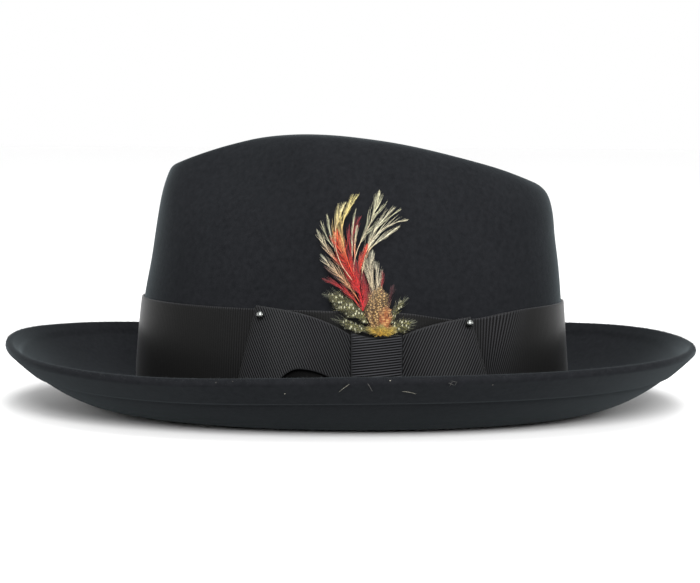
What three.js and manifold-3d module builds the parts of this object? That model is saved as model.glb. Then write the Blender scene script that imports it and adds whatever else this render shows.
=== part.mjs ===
// A felt fedora: one felt body with a teardrop crown and a brim turned up all round, a wide
// ribbed ribbon with a flat bow and two ball studs, and a spray of feathers tucked into the bow.
// Units are millimetres and +Z is up. The front of the hat points to -X and the wearer's left,
// which carries the bow and the feathers, to -Y. The origin lies on the surface that the hat
// rests on, under the middle of the brim.
import * as THREE from 'three';
import { mergeVertices } from 'three/addons/utils/BufferGeometryUtils.js';
import Module from 'manifold-3d';

const wasm = await Module();
wasm.setup();

// Driving dimensions
const GAP = 0.3;
const FELT_WALL = 2.4;
const HALF_FELT = FELT_WALL / 2;
const COLUMNS = 60;

const BRIM = {
  halfLength: 161.2,
  halfWidth: 142.6,
  squareness: 2.15,
  flatShare: 0.1,
  curlPower: 1.88,
  rollHalfThickness: 2.0,
  rollWidth: 5.5,
  turnedUnderWidth: 11.5,
  turnedUnderStep: 1.6,
};

const CROWN = {
  middleX: 0.86,
  footRadius: 4,
  pinchX: -57,
  pinchReach: 27,
  spineMiddleX: 3,
  spineHalfLength: 64,
};

const RIBBON = {
  thickness: 1.0,
  bottom: 5.6,
  topAtFront: 51.3,
  topAtBack: 50.0,
  dip: 4.0,
  dipX: 50,
  dipReach: 21,
  rows: 4,
};

const KNOT = { left: 0, right: 21.8, bottom: 12, top: 39.4, edge: 2.6, bulge: 4.6 };
const WING = { thickness: 0.9, rows: 5 };
const STUD = { radius: 1.7, sides: 12 };

// Height of the middle of the rolled brim edge, by the angle from the back of the hat
const RIM_HEIGHTS = [
  { angle: 0, height: 28.8 },
  { angle: 30, height: 29.3 },
  { angle: 60, height: 26.9 },
  { angle: 90, height: 26.0 },
  { angle: 120, height: 25.8 },
  { angle: 150, height: 29.3 },
  { angle: 180, height: 30.8 },
  { angle: 210, height: 26.2 },
  { angle: 240, height: 24.2 },
  { angle: 270, height: 26.5 },
  { angle: 300, height: 27.2 },
  { angle: 330, height: 27.9 },
];

// Crown profile, outside of the felt: along is the way up the felt from its foot, rise the
// share of the height between foot and ridge, front, back and side the half sizes there, and
// pinch the share that the two front dents take off the half width
const CROWN_PROFILE = [
  { along: 0, rise: 0, front: 102.6, back: 102.4, side: 85, pinch: 0 },
  { along: 20, rise: 0.18, front: 101.8, back: 101.2, side: 84.1, pinch: 0 },
  { along: 47, rise: 0.42, front: 99.3, back: 99.5, side: 81.6, pinch: 0 },
  { along: 67, rise: 0.6, front: 95.8, back: 98, side: 78.4, pinch: 0.03 },
  { along: 84, rise: 0.75, front: 93.4, back: 96.1, side: 74, pinch: 0.13 },
  { along: 98, rise: 0.87, front: 91.1, back: 94.8, side: 67, pinch: 0.28 },
  { along: 109, rise: 0.95, front: 88.5, back: 92.2, side: 59, pinch: 0.38 },
  { along: 116, rise: 0.99, front: 86, back: 87.8, side: 51.6, pinch: 0.43 },
  { along: 122, rise: 1, front: 81.5, back: 83, side: 44.5, pinch: 0.45 },
];

// Height of the crown's ridge, and how far the crease lies below it, along the hat
const RIDGE = [
  { x: -82, height: 114.1, drop: 6 },
  { x: -72, height: 118.3, drop: 7 },
  { x: -57, height: 123.4, drop: 10 },
  { x: -43, height: 126.7, drop: 15 },
  { x: -28, height: 128.2, drop: 20 },
  { x: -14, height: 128.2, drop: 23 },
  { x: 1, height: 127, drop: 25 },
  { x: 22, height: 124, drop: 25 },
  { x: 45, height: 118.9, drop: 22 },
  { x: 66, height: 112.9, drop: 16 },
  { x: 84, height: 105.8, drop: 12 },
];

// Bow wings: x and z of the corners, and how far the front layer lifts off the back one
const WINGS = {
  bow_wing_front: {
    knotX: KNOT.left - GAP,
    foldTop: { x: -40.3, z: 52.3 },
    foldBottom: { x: -51.3, z: 6.2 },
    knotTop: 40.2,
    knotBottom: 11,
  },
  bow_wing_back: {
    knotX: KNOT.right + GAP,
    foldTop: { x: 51.2, z: 47.4 },
    foldBottom: { x: 62.4, z: 6.2 },
    knotTop: 39.9,
    knotBottom: 11,
  },
};
const WING_LIFT = [
  { share: 0, lift: 1.3 },
  { share: 0.15, lift: 2.1 },
  { share: 0.3, lift: 2.6 },
  { share: 0.45, lift: 2.9 },
  { share: 0.6, lift: 2.9 },
  { share: 0.75, lift: 2.7 },
  { share: 0.88, lift: 2.3 },
];
const FOLD_ANGLES = [0, 60, 120, 180];

// Studs near the folds of the wings, and how far their feet lie off the back of the bow
const STUDS = {
  stud_front: { x: -38.7, z: 49.0, clearance: 3.1 },
  stud_back: { x: 49.7, z: 44.6, clearance: 3.2 },
};

// Feather spray: each lock runs from its root by a bend to its tip, width across its middle
const PLUME_HEAD = { x: 11.2, z: 45.2, halfWidth: 12, halfHeight: 5, halfDepth: 2.2 };
const PLUME_LOCKS = [
  { name: 'spotted_front', root: [7, 45], bend: [-3, 54], tip: [-11.5, 59], width: 9, lift: 5.4 },
  { name: 'spotted_low', root: [8, 45.5], bend: [0, 47.5], tip: [-5, 47.5], width: 5, lift: 5.6 },
  { name: 'spotted_back', root: [15, 45], bend: [21, 48.5], tip: [25.5, 53], width: 9, lift: 5.6 },
  { name: 'barred', root: [11.5, 45], bend: [12, 53], tip: [11, 61], width: 13, lift: 6.4 },
  { name: 'red_broad', root: [7, 46], bend: [1, 65], tip: [-6.2, 85], width: 6, lift: 7.4 },
  { name: 'red_spike', root: [6, 47], bend: [-4, 57], tip: [-11.8, 63.5], width: 3, lift: 6.6 },
  { name: 'cream_outer', root: [6, 47], bend: [-10, 67], tip: [-15, 83.8], width: 6, lift: 6.8 },
  { name: 'cream_inner', root: [7, 47], bend: [-5, 66], tip: [-13, 75], width: 5, lift: 7.0 },
  { name: 'cream_hook', root: [7, 47], bend: [-12, 82], tip: [2.9, 99], width: 7, lift: 7.0 },
  { name: 'cream_middle', root: [9, 47], bend: [-1, 80], tip: [11.3, 101.5], width: 7, lift: 7.6 },
  { name: 'cream_back', root: [10, 47], bend: [0, 82], tip: [24, 89.5], width: 8, lift: 7.2 },
  { name: 'cream_short', root: [12, 47], bend: [12, 62], tip: [10, 76], width: 8, lift: 6.2 },
  { name: 'red_short', root: [13, 46], bend: [17, 54], tip: [17.5, 62], width: 4, lift: 6.0 },
];
const LOCK = { stations: 7, halfDepth: 0.8, rootShare: 0.35, tipShare: 0.12 };

const MATERIALS = {
  felt: { color: 0x17181b, roughness: 0.95, metalness: 0 },
  ribbon: { color: 0x141414, roughness: 0.7, metalness: 0 },
  stud_metal: { color: 0x55565a, roughness: 0.3, metalness: 1 },
  feather: { color: 0xb08a4a, roughness: 0.8, metalness: 0 },
};

// Number helpers
const radians = THREE.MathUtils.degToRad;
const { clamp, lerp } = THREE.MathUtils;

function smoothstep(share) {
  const t = clamp(share, 0, 1);
  return t * t * (3 - 2 * t);
}

// One column of a table, as a smooth curve through its rows
function smoothColumn(rows, key, column, at) {
  const last = rows.length - 1;
  const place = clamp(at, rows[0][key], rows[last][key]);
  let i = 0;
  while (i < last - 1 && place > rows[i + 1][key]) i += 1;
  const slope = (a, b) => (rows[b][column] - rows[a][column]) / (rows[b][key] - rows[a][key]);
  const slopeStart = i > 0 ? slope(i - 1, i + 1) : slope(0, 1);
  const slopeEnd = i + 2 <= last ? slope(i, i + 2) : slope(last - 1, last);
  const span = rows[i + 1][key] - rows[i][key];
  const t = (place - rows[i][key]) / span;
  const rest = 1 - t;
  return rows[i][column] * (1 + 2 * t) * rest * rest + slopeStart * span * t * rest * rest
    + rows[i + 1][column] * t * t * (3 - 2 * t) - slopeEnd * span * t * t * rest;
}

// Middle surface of the felt, by the angle from the back and the way in from the brim edge
const BRIM_SPAN = 60;
const FOOT_SPAN = CROWN.footRadius * Math.PI / 2;
const WALL_SPAN = CROWN_PROFILE[CROWN_PROFILE.length - 1].along;
const CREASE_SPAN = 46;
const WALL_START = BRIM_SPAN + FOOT_SPAN;
const CREASE_START = WALL_START + WALL_SPAN;
const SPINE = CREASE_START + CREASE_SPAN;

function rimHeight(angle) {
  const turn = THREE.MathUtils.euclideanModulo(angle, 2 * Math.PI) / (2 * Math.PI);
  const step = turn * RIM_HEIGHTS.length;
  const i = Math.floor(step);
  const t = step - i;
  const row = (k) => RIM_HEIGHTS[(i + k + RIM_HEIGHTS.length) % RIM_HEIGHTS.length].height;
  const a = (row(2) - row(0)) / 2;
  const b = (row(1) - row(-1)) / 2;
  const rest = 1 - t;
  return row(0) * (1 + 2 * t) * rest * rest + b * t * rest * rest
    + row(1) * t * t * (3 - 2 * t) - a * t * t * rest;
}

function footSize(angle, outwards) {
  const row = CROWN_PROFILE[0];
  const length = (Math.cos(angle) < 0 ? row.front : row.back) - HALF_FELT + outwards;
  const width = row.side - HALF_FELT + outwards;
  return {
    x: CROWN.middleX + length * Math.cos(angle),
    y: width * Math.sin(angle),
  };
}

function brimPoint(angle, share) {
  const foot = footSize(angle, CROWN.footRadius);
  const squared = (part) => Math.sign(part) * Math.abs(part) ** (2 / BRIM.squareness);
  const curl = Math.max(0, (share - BRIM.flatShare) / (1 - BRIM.flatShare)) ** BRIM.curlPower;
  return new THREE.Vector3(
    lerp(foot.x, BRIM.halfLength * squared(Math.cos(angle)), share),
    lerp(foot.y, BRIM.halfWidth * squared(Math.sin(angle)), share),
    HALF_FELT + (rimHeight(angle) - HALF_FELT) * curl,
  );
}

function footPoint(angle, turn) {
  const foot = footSize(angle, CROWN.footRadius * (1 - Math.sin(turn)));
  return new THREE.Vector3(foot.x, foot.y, HALF_FELT + CROWN.footRadius * (1 - Math.cos(turn)));
}

function wallPlan(angle, along) {
  const column = (name) => smoothColumn(CROWN_PROFILE, 'along', name, along);
  const length = column(Math.cos(angle) < 0 ? 'front' : 'back') - HALF_FELT;
  const x = length * Math.cos(angle);
  const dent = Math.exp(-(((x - CROWN.pinchX) / CROWN.pinchReach) ** 2));
  const width = (column('side') - HALF_FELT) * (1 - column('pinch') * dent);
  return { x, y: width * Math.sin(angle), rise: column('rise') };
}

function ridgeHeight(x) {
  return smoothColumn(RIDGE, 'x', 'height', x) - HALF_FELT;
}

function wallPoint(angle, along) {
  const plan = wallPlan(angle, along);
  const ridge = ridgeHeight(wallPlan(angle, WALL_SPAN).x);
  const foot = HALF_FELT + CROWN.footRadius;
  return new THREE.Vector3(CROWN.middleX + plan.x, plan.y, lerp(foot, ridge, plan.rise));
}

function creasePoint(angle, share) {
  const ridge = wallPlan(angle, WALL_SPAN);
  const spineX = CROWN.spineMiddleX + CROWN.spineHalfLength * Math.cos(angle);
  const x = lerp(ridge.x, spineX, share);
  const drop = smoothColumn(RIDGE, 'x', 'drop', x) * smoothstep(share);
  return new THREE.Vector3(CROWN.middleX + x, ridge.y * (1 - share), ridgeHeight(x) - drop);
}

function feltMiddle(angle, station) {
  if (station <= BRIM_SPAN) return brimPoint(angle, 1 - station / BRIM_SPAN);
  if (station <= WALL_START) return footPoint(angle, (station - BRIM_SPAN) / CROWN.footRadius);
  if (station <= CREASE_START) return wallPoint(angle, station - WALL_START);
  return creasePoint(angle, (station - CREASE_START) / CREASE_SPAN);
}

// Unit normal on the outer side of the felt, upwards on the brim and outwards on the crown
function feltNormal(angle, station) {
  const step = 0.4;
  const turn = 0.01;
  const at = Math.min(station, SPINE - step);
  const from = feltMiddle(angle, Math.max(at - step, 0));
  const inwards = feltMiddle(angle, at + step).sub(from);
  const round = feltMiddle(angle + turn, at).sub(feltMiddle(angle - turn, at));
  return round.cross(inwards).normalize();
}

// A point off the felt's middle surface, on its outer side for a positive distance
function offFelt(angle, station, distance) {
  return feltMiddle(angle, station).addScaledVector(feltNormal(angle, station), distance);
}

function stationAtHeight(angle, height) {
  let low = BRIM_SPAN;
  let high = CREASE_START;
  for (let i = 0; i < 30; i += 1) {
    const middle = (low + high) / 2;
    if (feltMiddle(angle, middle).z < height) low = middle;
    else high = middle;
  }
  return (low + high) / 2;
}

// A point on the bow's side of the crown, at that x and height and that far off the felt
function onCrown(x, height, distance) {
  const profile = smoothColumn(CROWN_PROFILE, 'rise', x < 0 ? 'front' : 'back', height / 120);
  const angle = -Math.acos((x - CROWN.middleX) / profile);
  return offFelt(angle, stationAtHeight(angle, height), HALF_FELT + distance);
}

// Mesh helpers: grids are arrays of rows of points
function welded(positions, triangles) {
  const geometry = new THREE.BufferGeometry();
  geometry.setAttribute('position', new THREE.Float32BufferAttribute(positions, 3));
  geometry.setIndex(triangles);
  const merged = mergeVertices(geometry, 1e-4);
  const index = merged.index.array;
  const kept = [];
  for (let i = 0; i < index.length; i += 3) {
    const [a, b, c] = [index[i], index[i + 1], index[i + 2]];
    if (a !== b && b !== c && a !== c) kept.push(a, b, c);
  }
  merged.setIndex(signedVolume(merged, kept) < 0 ? kept.reverse() : kept);
  return merged;
}

function signedVolume(geometry, triangles) {
  const point = (k) => new THREE.Vector3().fromBufferAttribute(geometry.attributes.position, k);
  let sum = 0;
  for (let i = 0; i < triangles.length; i += 3) {
    sum += point(triangles[i]).dot(point(triangles[i + 1]).cross(point(triangles[i + 2])));
  }
  return sum / 6;
}

// Two grids that face away from each other, closed into a solid along their free edges
function solidBetween(front, back, { ring = false, startWall = true, endWall = true } = {}) {
  const rows = front.length;
  const columns = front[0].length;
  const positions = [...front.flat(), ...back.flat()].flatMap((p) => p.toArray());
  const triangles = [];
  const quad = (a, b, c, d) => triangles.push(a, b, c, a, c, d);
  const f = (i, j) => i * columns + (j % columns);
  const b = (i, j) => rows * columns + f(i, j);
  const lastColumn = ring ? columns : columns - 1;
  for (let j = 0; j < lastColumn; j += 1) {
    for (let i = 0; i < rows - 1; i += 1) {
      quad(f(i, j), f(i, j + 1), f(i + 1, j + 1), f(i + 1, j));
      quad(b(i, j), b(i + 1, j), b(i + 1, j + 1), b(i, j + 1));
    }
    if (startWall) quad(f(0, j + 1), f(0, j), b(0, j), b(0, j + 1));
    if (endWall) quad(f(rows - 1, j), f(rows - 1, j + 1), b(rows - 1, j + 1), b(rows - 1, j));
  }
  if (!ring) {
    for (let i = 0; i < rows - 1; i += 1) {
      quad(f(i, 0), f(i + 1, 0), b(i + 1, 0), b(i, 0));
      quad(f(i + 1, columns - 1), f(i, columns - 1), b(i, columns - 1), b(i + 1, columns - 1));
    }
  }
  return welded(positions, triangles);
}

// A sheet of even thickness round a grid of middle points
function thickened(grid, thickness) {
  const rows = grid.length;
  const columns = grid[0].length;
  const at = (i, j) => grid[clamp(i, 0, rows - 1)][clamp(j, 0, columns - 1)];
  const shifted = (distance) => grid.map((row, i) => row.map((point, j) => {
    const down = at(i + 1, j).clone().sub(at(i - 1, j));
    const across = at(i, j + 1).clone().sub(at(i, j - 1));
    return point.clone().addScaledVector(down.cross(across).normalize(), distance);
  }));
  return solidBetween(shifted(thickness / 2), shifted(-thickness / 2));
}

function toManifold(geometry) {
  const bare = geometry.clone();
  bare.deleteAttribute('normal');
  bare.deleteAttribute('uv');
  const merged = mergeVertices(bare, 1e-4);
  return new wasm.Manifold(new wasm.Mesh({
    numProp: 3,
    vertProperties: Float32Array.from(merged.attributes.position.array),
    triVerts: Uint32Array.from(merged.index.array),
  }));
}

function fromManifold(solid) {
  const mesh = solid.getMesh();
  const geometry = new THREE.BufferGeometry();
  geometry.setAttribute('position', new THREE.BufferAttribute(mesh.vertProperties, 3));
  geometry.setIndex(new THREE.BufferAttribute(mesh.triVerts, 1));
  return geometry;
}

// Felt body: crown and brim in one piece of felt, with its edge turned under and rolled
const BRIM_STATIONS = [0, 2.4, 4.8, 10, 12.5, 18, 25, 33, 41, 48, 54, 59];
const FOOT_TURNS = [0.5, 1.1];
const CREASE_SHARES = [0.16, 0.34, 0.55, 0.78, 1];
const CAP_ANGLES = [90, 45];

function feltStations() {
  return [
    ...BRIM_STATIONS,
    ...FOOT_TURNS.map((turn) => BRIM_SPAN + CROWN.footRadius * turn),
    ...CROWN_PROFILE.map((row) => WALL_START + row.along),
    ...CREASE_SHARES.map((share) => CREASE_START + CREASE_SPAN * share),
  ];
}

function upperHalfThickness(station) {
  const roll = BRIM.rollHalfThickness - HALF_FELT;
  return HALF_FELT + roll * (1 - smoothstep(station / BRIM.rollWidth));
}

function lowerHalfThickness(station) {
  const fold = BRIM.rollHalfThickness - HALF_FELT;
  const past = (station - BRIM.turnedUnderWidth) / BRIM.turnedUnderStep;
  return HALF_FELT + fold * (1 - smoothstep(past + 0.5));
}

// The round outer edge, from straight outwards (90) towards the top or underside (0)
function edgePoint(angle, side, capAngle) {
  const middle = feltMiddle(angle, 0);
  const outwards = middle.clone().sub(feltMiddle(angle, 1)).normalize();
  const normal = feltNormal(angle, 0);
  const turn = radians(capAngle);
  return middle
    .addScaledVector(outwards, BRIM.rollHalfThickness * Math.sin(turn))
    .addScaledVector(normal, side * BRIM.rollHalfThickness * Math.cos(turn));
}

function feltSkin(side, halfThickness) {
  const angles = Array.from({ length: COLUMNS }, (_, k) => (2 * Math.PI * k) / COLUMNS);
  const cap = CAP_ANGLES.map((turn) => angles.map((angle) => edgePoint(angle, side, turn)));
  const sheet = feltStations().map((station) => angles.map((angle) => {
    const point = offFelt(angle, station, side * halfThickness(station));
    return station === SPINE ? point.setY(0) : point;
  }));
  return [...cap, ...sheet];
}

function feltBody() {
  return solidBetween(
    feltSkin(1, upperHalfThickness),
    feltSkin(-1, lowerHalfThickness),
    { ring: true, startWall: false, endWall: false },
  );
}

// Ribbon round the foot of the crown
function ribbonTop(angle) {
  const level = lerp(RIBBON.topAtFront, RIBBON.topAtBack, (1 + Math.cos(angle)) / 2);
  const x = CROWN_PROFILE[0].back * Math.cos(angle);
  const dip = RIBBON.dip * Math.exp(-(((x - RIBBON.dipX) / RIBBON.dipReach) ** 2));
  return Math.sin(angle) < 0 ? level - dip : level;
}

function ribbonFace(distance) {
  return Array.from({ length: RIBBON.rows }, (_, i) => Array.from({ length: COLUMNS }, (__, k) => {
    const angle = (2 * Math.PI * k) / COLUMNS;
    const height = lerp(RIBBON.bottom, ribbonTop(angle), i / (RIBBON.rows - 1));
    return offFelt(angle, stationAtHeight(angle, height), HALF_FELT + distance);
  }));
}

function ribbonBand() {
  return solidBetween(ribbonFace(GAP + RIBBON.thickness), ribbonFace(GAP), { ring: true });
}

const BOW_GAP = 0.45;
const BOW_BACK = GAP + RIBBON.thickness + BOW_GAP;

// One wing of the bow: a ribbon loop pressed flat, open at the knot and folded at its far end
function bowWing(wing) {
  const back = BOW_BACK + WING.thickness / 2;
  const place = (share, up, lift) => {
    const bottom = lerp(wing.knotBottom, wing.foldBottom.z, share);
    const top = lerp(wing.knotTop, wing.foldTop.z, share);
    const farX = lerp(wing.foldBottom.x, wing.foldTop.x, up);
    return onCrown(lerp(wing.knotX, farX, share), lerp(bottom, top, up), back + lift);
  };
  const lastLift = WING_LIFT[WING_LIFT.length - 1];
  const column = (up) => {
    const front = WING_LIFT.map(({ share, lift }) => place(share, up, lift));
    const fold = FOLD_ANGLES.slice(1, -1).map((turn) => place(
      lerp(lastLift.share, 1, Math.sin(radians(turn))),
      up,
      (lastLift.lift / 2) * (1 + Math.cos(radians(turn))),
    ));
    const rear = [...WING_LIFT].reverse().map(({ share }) => place(share, up, 0));
    return [...front, ...fold, ...rear];
  };
  const ups = Array.from({ length: WING.rows }, (_, i) => i / (WING.rows - 1));
  return thickened(ups.map(column), WING.thickness);
}

// The wrap over the middle of the bow
function bowKnot() {
  const across = [0, 0.12, 0.5, 0.88, 1];
  const heights = [0, 0.15, 0.4, 0.7, 0.9, 1];
  const face = (depth) => heights.map((up) => across.map((share) => onCrown(
    lerp(KNOT.left, KNOT.right, share),
    lerp(KNOT.bottom, KNOT.top, up),
    BOW_BACK + depth(share),
  )));
  const bulge = (share) => lerp(KNOT.edge, KNOT.bulge, Math.sqrt(Math.sin(Math.PI * share)));
  return solidBetween(face(bulge), face(() => 0));
}

// A ball-headed stud with a flat foot on the ribbon
function studShape() {
  const turns = [150, 125, 100, 75, 50, 25];
  const centre = -STUD.radius * Math.cos(radians(turns[0]));
  const arc = turns.map((turn) => new THREE.Vector2(
    STUD.radius * Math.sin(radians(turn)),
    centre + STUD.radius * Math.cos(radians(turn)),
  ));
  const top = new THREE.Vector2(0, centre + STUD.radius);
  return closedLathe([new THREE.Vector2(0, 0), ...arc, top], STUD.sides);
}

function closedLathe(profile, sides) {
  const lathe = new THREE.LatheGeometry(profile, sides);
  lathe.deleteAttribute('normal');
  lathe.deleteAttribute('uv');
  return welded(Array.from(lathe.attributes.position.array), Array.from(lathe.index.array));
}

// Feather spray: locks fused to a small head that sits on the ribbon above the knot
function plumeHead() {
  const ball = new THREE.SphereGeometry(1, 12, 8);
  ball.scale(PLUME_HEAD.halfWidth, PLUME_HEAD.halfDepth, PLUME_HEAD.halfHeight);
  const seat = BOW_BACK + PLUME_HEAD.halfDepth;
  const middle = onCrown(PLUME_HEAD.x, PLUME_HEAD.z, seat);
  const side = onCrown(PLUME_HEAD.x + 1, PLUME_HEAD.z, seat).sub(middle).normalize();
  ball.rotateZ(Math.atan2(side.y, side.x));
  ball.translate(middle.x, middle.y, middle.z);
  return toManifold(ball);
}

function lockWidth(share) {
  const swell = Math.sin(Math.PI * Math.min(share / 1.15 + 0.12, 1));
  return lerp(LOCK.tipShare, 1, swell) * (share < 0.15 ? lerp(LOCK.rootShare, 1, share / 0.15) : 1);
}

function plumeLock(lock) {
  const path = new THREE.QuadraticBezierCurve(
    new THREE.Vector2(...lock.root),
    new THREE.Vector2(...lock.bend),
    new THREE.Vector2(...lock.tip),
  );
  const sections = Array.from({ length: LOCK.stations }, (_, i) => {
    const share = i / (LOCK.stations - 1);
    const spot = path.getPoint(share);
    const side = path.getTangent(share).rotateAround(new THREE.Vector2(), Math.PI / 2);
    const reach = side.multiplyScalar((lock.width / 2) * lockWidth(share));
    const lift = lerp(BOW_BACK + PLUME_HEAD.halfDepth, lock.lift, share);
    return [
      onCrown(spot.x + reach.x, spot.y + reach.y, lift),
      onCrown(spot.x, spot.y, lift + LOCK.halfDepth),
      onCrown(spot.x - reach.x, spot.y - reach.y, lift),
      onCrown(spot.x, spot.y, lift - LOCK.halfDepth),
    ];
  });
  return toManifold(prism(sections));
}

// A closed solid through rings of points
function prism(sections) {
  const sides = sections[0].length;
  const last = sections.length - 1;
  const middle = (ring) => ring.reduce((sum, p) => sum.add(p), new THREE.Vector3())
    .divideScalar(sides);
  const positions = [...sections.flat(), middle(sections[0]), middle(sections[last])]
    .flatMap((p) => p.toArray());
  const startMiddle = sections.length * sides;
  const triangles = [];
  for (let j = 0; j < sides; j += 1) {
    const k = (j + 1) % sides;
    for (let i = 0; i < last; i += 1) {
      const [a, b] = [i * sides + j, i * sides + k];
      triangles.push(a, b, b + sides, a, b + sides, a + sides);
    }
    triangles.push(startMiddle, k, j);
    triangles.push(startMiddle + 1, last * sides + j, last * sides + k);
  }
  return welded(positions, triangles);
}

function featherPlume() {
  const spray = PLUME_LOCKS.reduce((sum, lock) => sum.add(plumeLock(lock)), plumeHead());
  return fromManifold(spray);
}

// Scene graph
function piece(name, geometry, finish) {
  const mesh = new THREE.Mesh(geometry, new THREE.MeshStandardMaterial(finish));
  mesh.name = name;
  return mesh;
}

function placedStud(name, { x, z, clearance }) {
  const stud = piece(name, studShape(), MATERIALS.stud_metal);
  const foot = onCrown(x, z, BOW_BACK + clearance);
  const outwards = onCrown(x, z, BOW_BACK + clearance + 1).sub(foot).normalize();
  stud.position.copy(foot);
  stud.quaternion.setFromUnitVectors(new THREE.Vector3(0, 1, 0), outwards);
  return stud;
}

const fedora = new THREE.Group();
fedora.add(piece('felt_body', feltBody(), MATERIALS.felt));
fedora.add(piece('ribbon_band', ribbonBand(), MATERIALS.ribbon));
for (const [name, wing] of Object.entries(WINGS)) {
  fedora.add(piece(name, bowWing(wing), MATERIALS.ribbon));
}
fedora.add(piece('bow_knot', bowKnot(), MATERIALS.ribbon));
for (const [name, place] of Object.entries(STUDS)) {
  fedora.add(placedStud(name, place));
}
fedora.add(piece('feather_plume', featherPlume(), MATERIALS.feather));

export default fedora;
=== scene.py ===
"""Looks of a near-black felt fedora with a grosgrain ribbon, a flat bow and a feather spray.

Sizes are in millimetres up to the mesh builder, which turns them into metres. The front of the
hat points to -X, and the bow and the feathers are on its -Y side.
"""
import math

import bmesh
import bpy
import numpy as np
from mathutils import Matrix, Vector


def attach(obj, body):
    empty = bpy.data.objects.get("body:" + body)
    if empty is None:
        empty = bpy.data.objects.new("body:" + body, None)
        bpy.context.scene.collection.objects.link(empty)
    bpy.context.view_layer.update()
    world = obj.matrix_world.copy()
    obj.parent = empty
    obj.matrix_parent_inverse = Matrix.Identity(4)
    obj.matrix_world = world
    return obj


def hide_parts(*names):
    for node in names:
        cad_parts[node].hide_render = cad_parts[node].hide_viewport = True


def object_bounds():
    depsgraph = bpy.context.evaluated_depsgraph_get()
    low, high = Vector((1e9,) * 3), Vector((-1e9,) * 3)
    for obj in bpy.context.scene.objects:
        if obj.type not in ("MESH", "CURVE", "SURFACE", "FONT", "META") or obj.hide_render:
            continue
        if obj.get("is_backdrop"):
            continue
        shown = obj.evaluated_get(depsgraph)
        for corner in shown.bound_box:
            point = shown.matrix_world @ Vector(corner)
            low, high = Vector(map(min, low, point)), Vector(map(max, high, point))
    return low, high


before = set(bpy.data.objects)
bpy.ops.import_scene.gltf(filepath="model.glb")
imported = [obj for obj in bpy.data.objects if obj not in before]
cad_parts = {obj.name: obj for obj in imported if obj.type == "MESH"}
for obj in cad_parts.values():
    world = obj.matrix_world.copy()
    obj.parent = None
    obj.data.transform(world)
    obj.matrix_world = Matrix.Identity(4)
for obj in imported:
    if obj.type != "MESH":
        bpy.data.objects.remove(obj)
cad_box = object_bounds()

MM = 0.001
BODY = "root"

# Felt and ribbon sizes, the same as the model's
GAP = 0.3
FELT_WALL = 2.4
HALF_FELT = FELT_WALL / 2
BRIM = {
    "half_length": 161.2, "half_width": 142.6, "squareness": 2.15, "flat_share": 0.1,
    "curl_power": 1.88, "roll_half": 2, "roll_width": 5.5, "roll_top": 2.6,
    "turned_under_width": 11.5, "turned_under_step": 1.6,
}
CROWN = {
    "middle_x": 0.86, "foot_radius": 4, "pinch_x": -57, "pinch_reach": 27,
    "spine_middle_x": 3, "spine_half_length": 64,
}
RIM_HEIGHTS = [28.8, 29.3, 26.9, 26, 25.8, 29.3, 30.8, 26.2, 24.2, 26.5, 27.2, 27.9]
CROWN_PROFILE = {
    "along": [0, 20, 47, 67, 84, 98, 109, 116, 122],
    "rise": [0, 0.18, 0.42, 0.6, 0.75, 0.87, 0.95, 0.99, 1],
    "front": [102.6, 101.8, 99.3, 95.8, 93.4, 91.1, 88.5, 86, 81.5],
    "back": [102.4, 101.2, 99.5, 98, 96.1, 94.8, 92.2, 87.8, 83],
    "side": [85, 84.1, 81.6, 78.4, 74, 67, 59, 51.6, 44.5],
    "pinch": [0, 0, 0, 0.03, 0.13, 0.28, 0.38, 0.43, 0.45],
}
PROFILE_HEIGHT = 120
RIDGE = {
    "x": [-82, -72, -57, -43, -28, -14, 1, 22, 45, 66, 84],
    "height": [114.1, 118.3, 123.4, 126.7, 128.2, 128.2, 127, 124, 118.9, 112.9, 105.8],
    "drop": [6, 7, 10, 15, 20, 23, 25, 25, 22, 16, 12],
}
BRIM_SPAN = 60
FOOT_SPAN = CROWN["foot_radius"] * math.pi / 2
WALL_SPAN = CROWN_PROFILE["along"][-1]
CREASE_SPAN = 46
WALL_START = BRIM_SPAN + FOOT_SPAN
CREASE_START = WALL_START + WALL_SPAN
SPINE = CREASE_START + CREASE_SPAN
RIBBON = {
    "flat_width": 46, "thickness": 1, "bottom": 5.6, "top_front": 51.3, "top_back": 50,
    "dip": 4, "dip_x": 50, "dip_reach": 21,
}


# Number helpers
HALVINGS = 30
CORRECTIONS = 3


def lerp(a, b, share):
    return a + (b - a) * share


def bell(x, middle, reach):
    return np.exp(-(((x - middle) / reach) ** 2))


def smoothstep(share):
    t = np.clip(share, 0, 1)
    return t * t * (3 - 2 * t)


def hermite(a, b, slope_a, slope_b, t):
    rest = 1 - t
    start = a * (1 + 2 * t) * rest * rest + slope_a * t * rest * rest
    return start + b * t * t * (3 - 2 * t) - slope_b * t * t * rest


def smooth_column(table, key, column, at):
    """One column of a table, as a smooth curve through its rows."""
    x = np.array(table[key], float)
    y = np.array(table[column], float)
    place = np.clip(at, x[0], x[-1])
    i = np.clip(np.searchsorted(x, place, side="left") - 1, 0, len(x) - 2)
    before = np.maximum(i - 1, 0)
    after = np.minimum(i + 2, len(x) - 1)
    span = x[i + 1] - x[i]
    slope_a = (y[i + 1] - y[before]) / (x[i + 1] - x[before]) * span
    slope_b = (y[after] - y[i]) / (x[after] - x[i]) * span
    return hermite(y[i], y[i + 1], slope_a, slope_b, (place - x[i]) / span)


def alike(*values):
    """The values as arrays of numbers that all have the same shape."""
    return np.broadcast_arrays(*[np.asarray(value, float) for value in values])


def stack(*parts):
    return np.stack(alike(*parts), -1)


def unit(vectors):
    return vectors / np.maximum(np.linalg.norm(vectors, axis=-1, keepdims=True), 1e-12)


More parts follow.
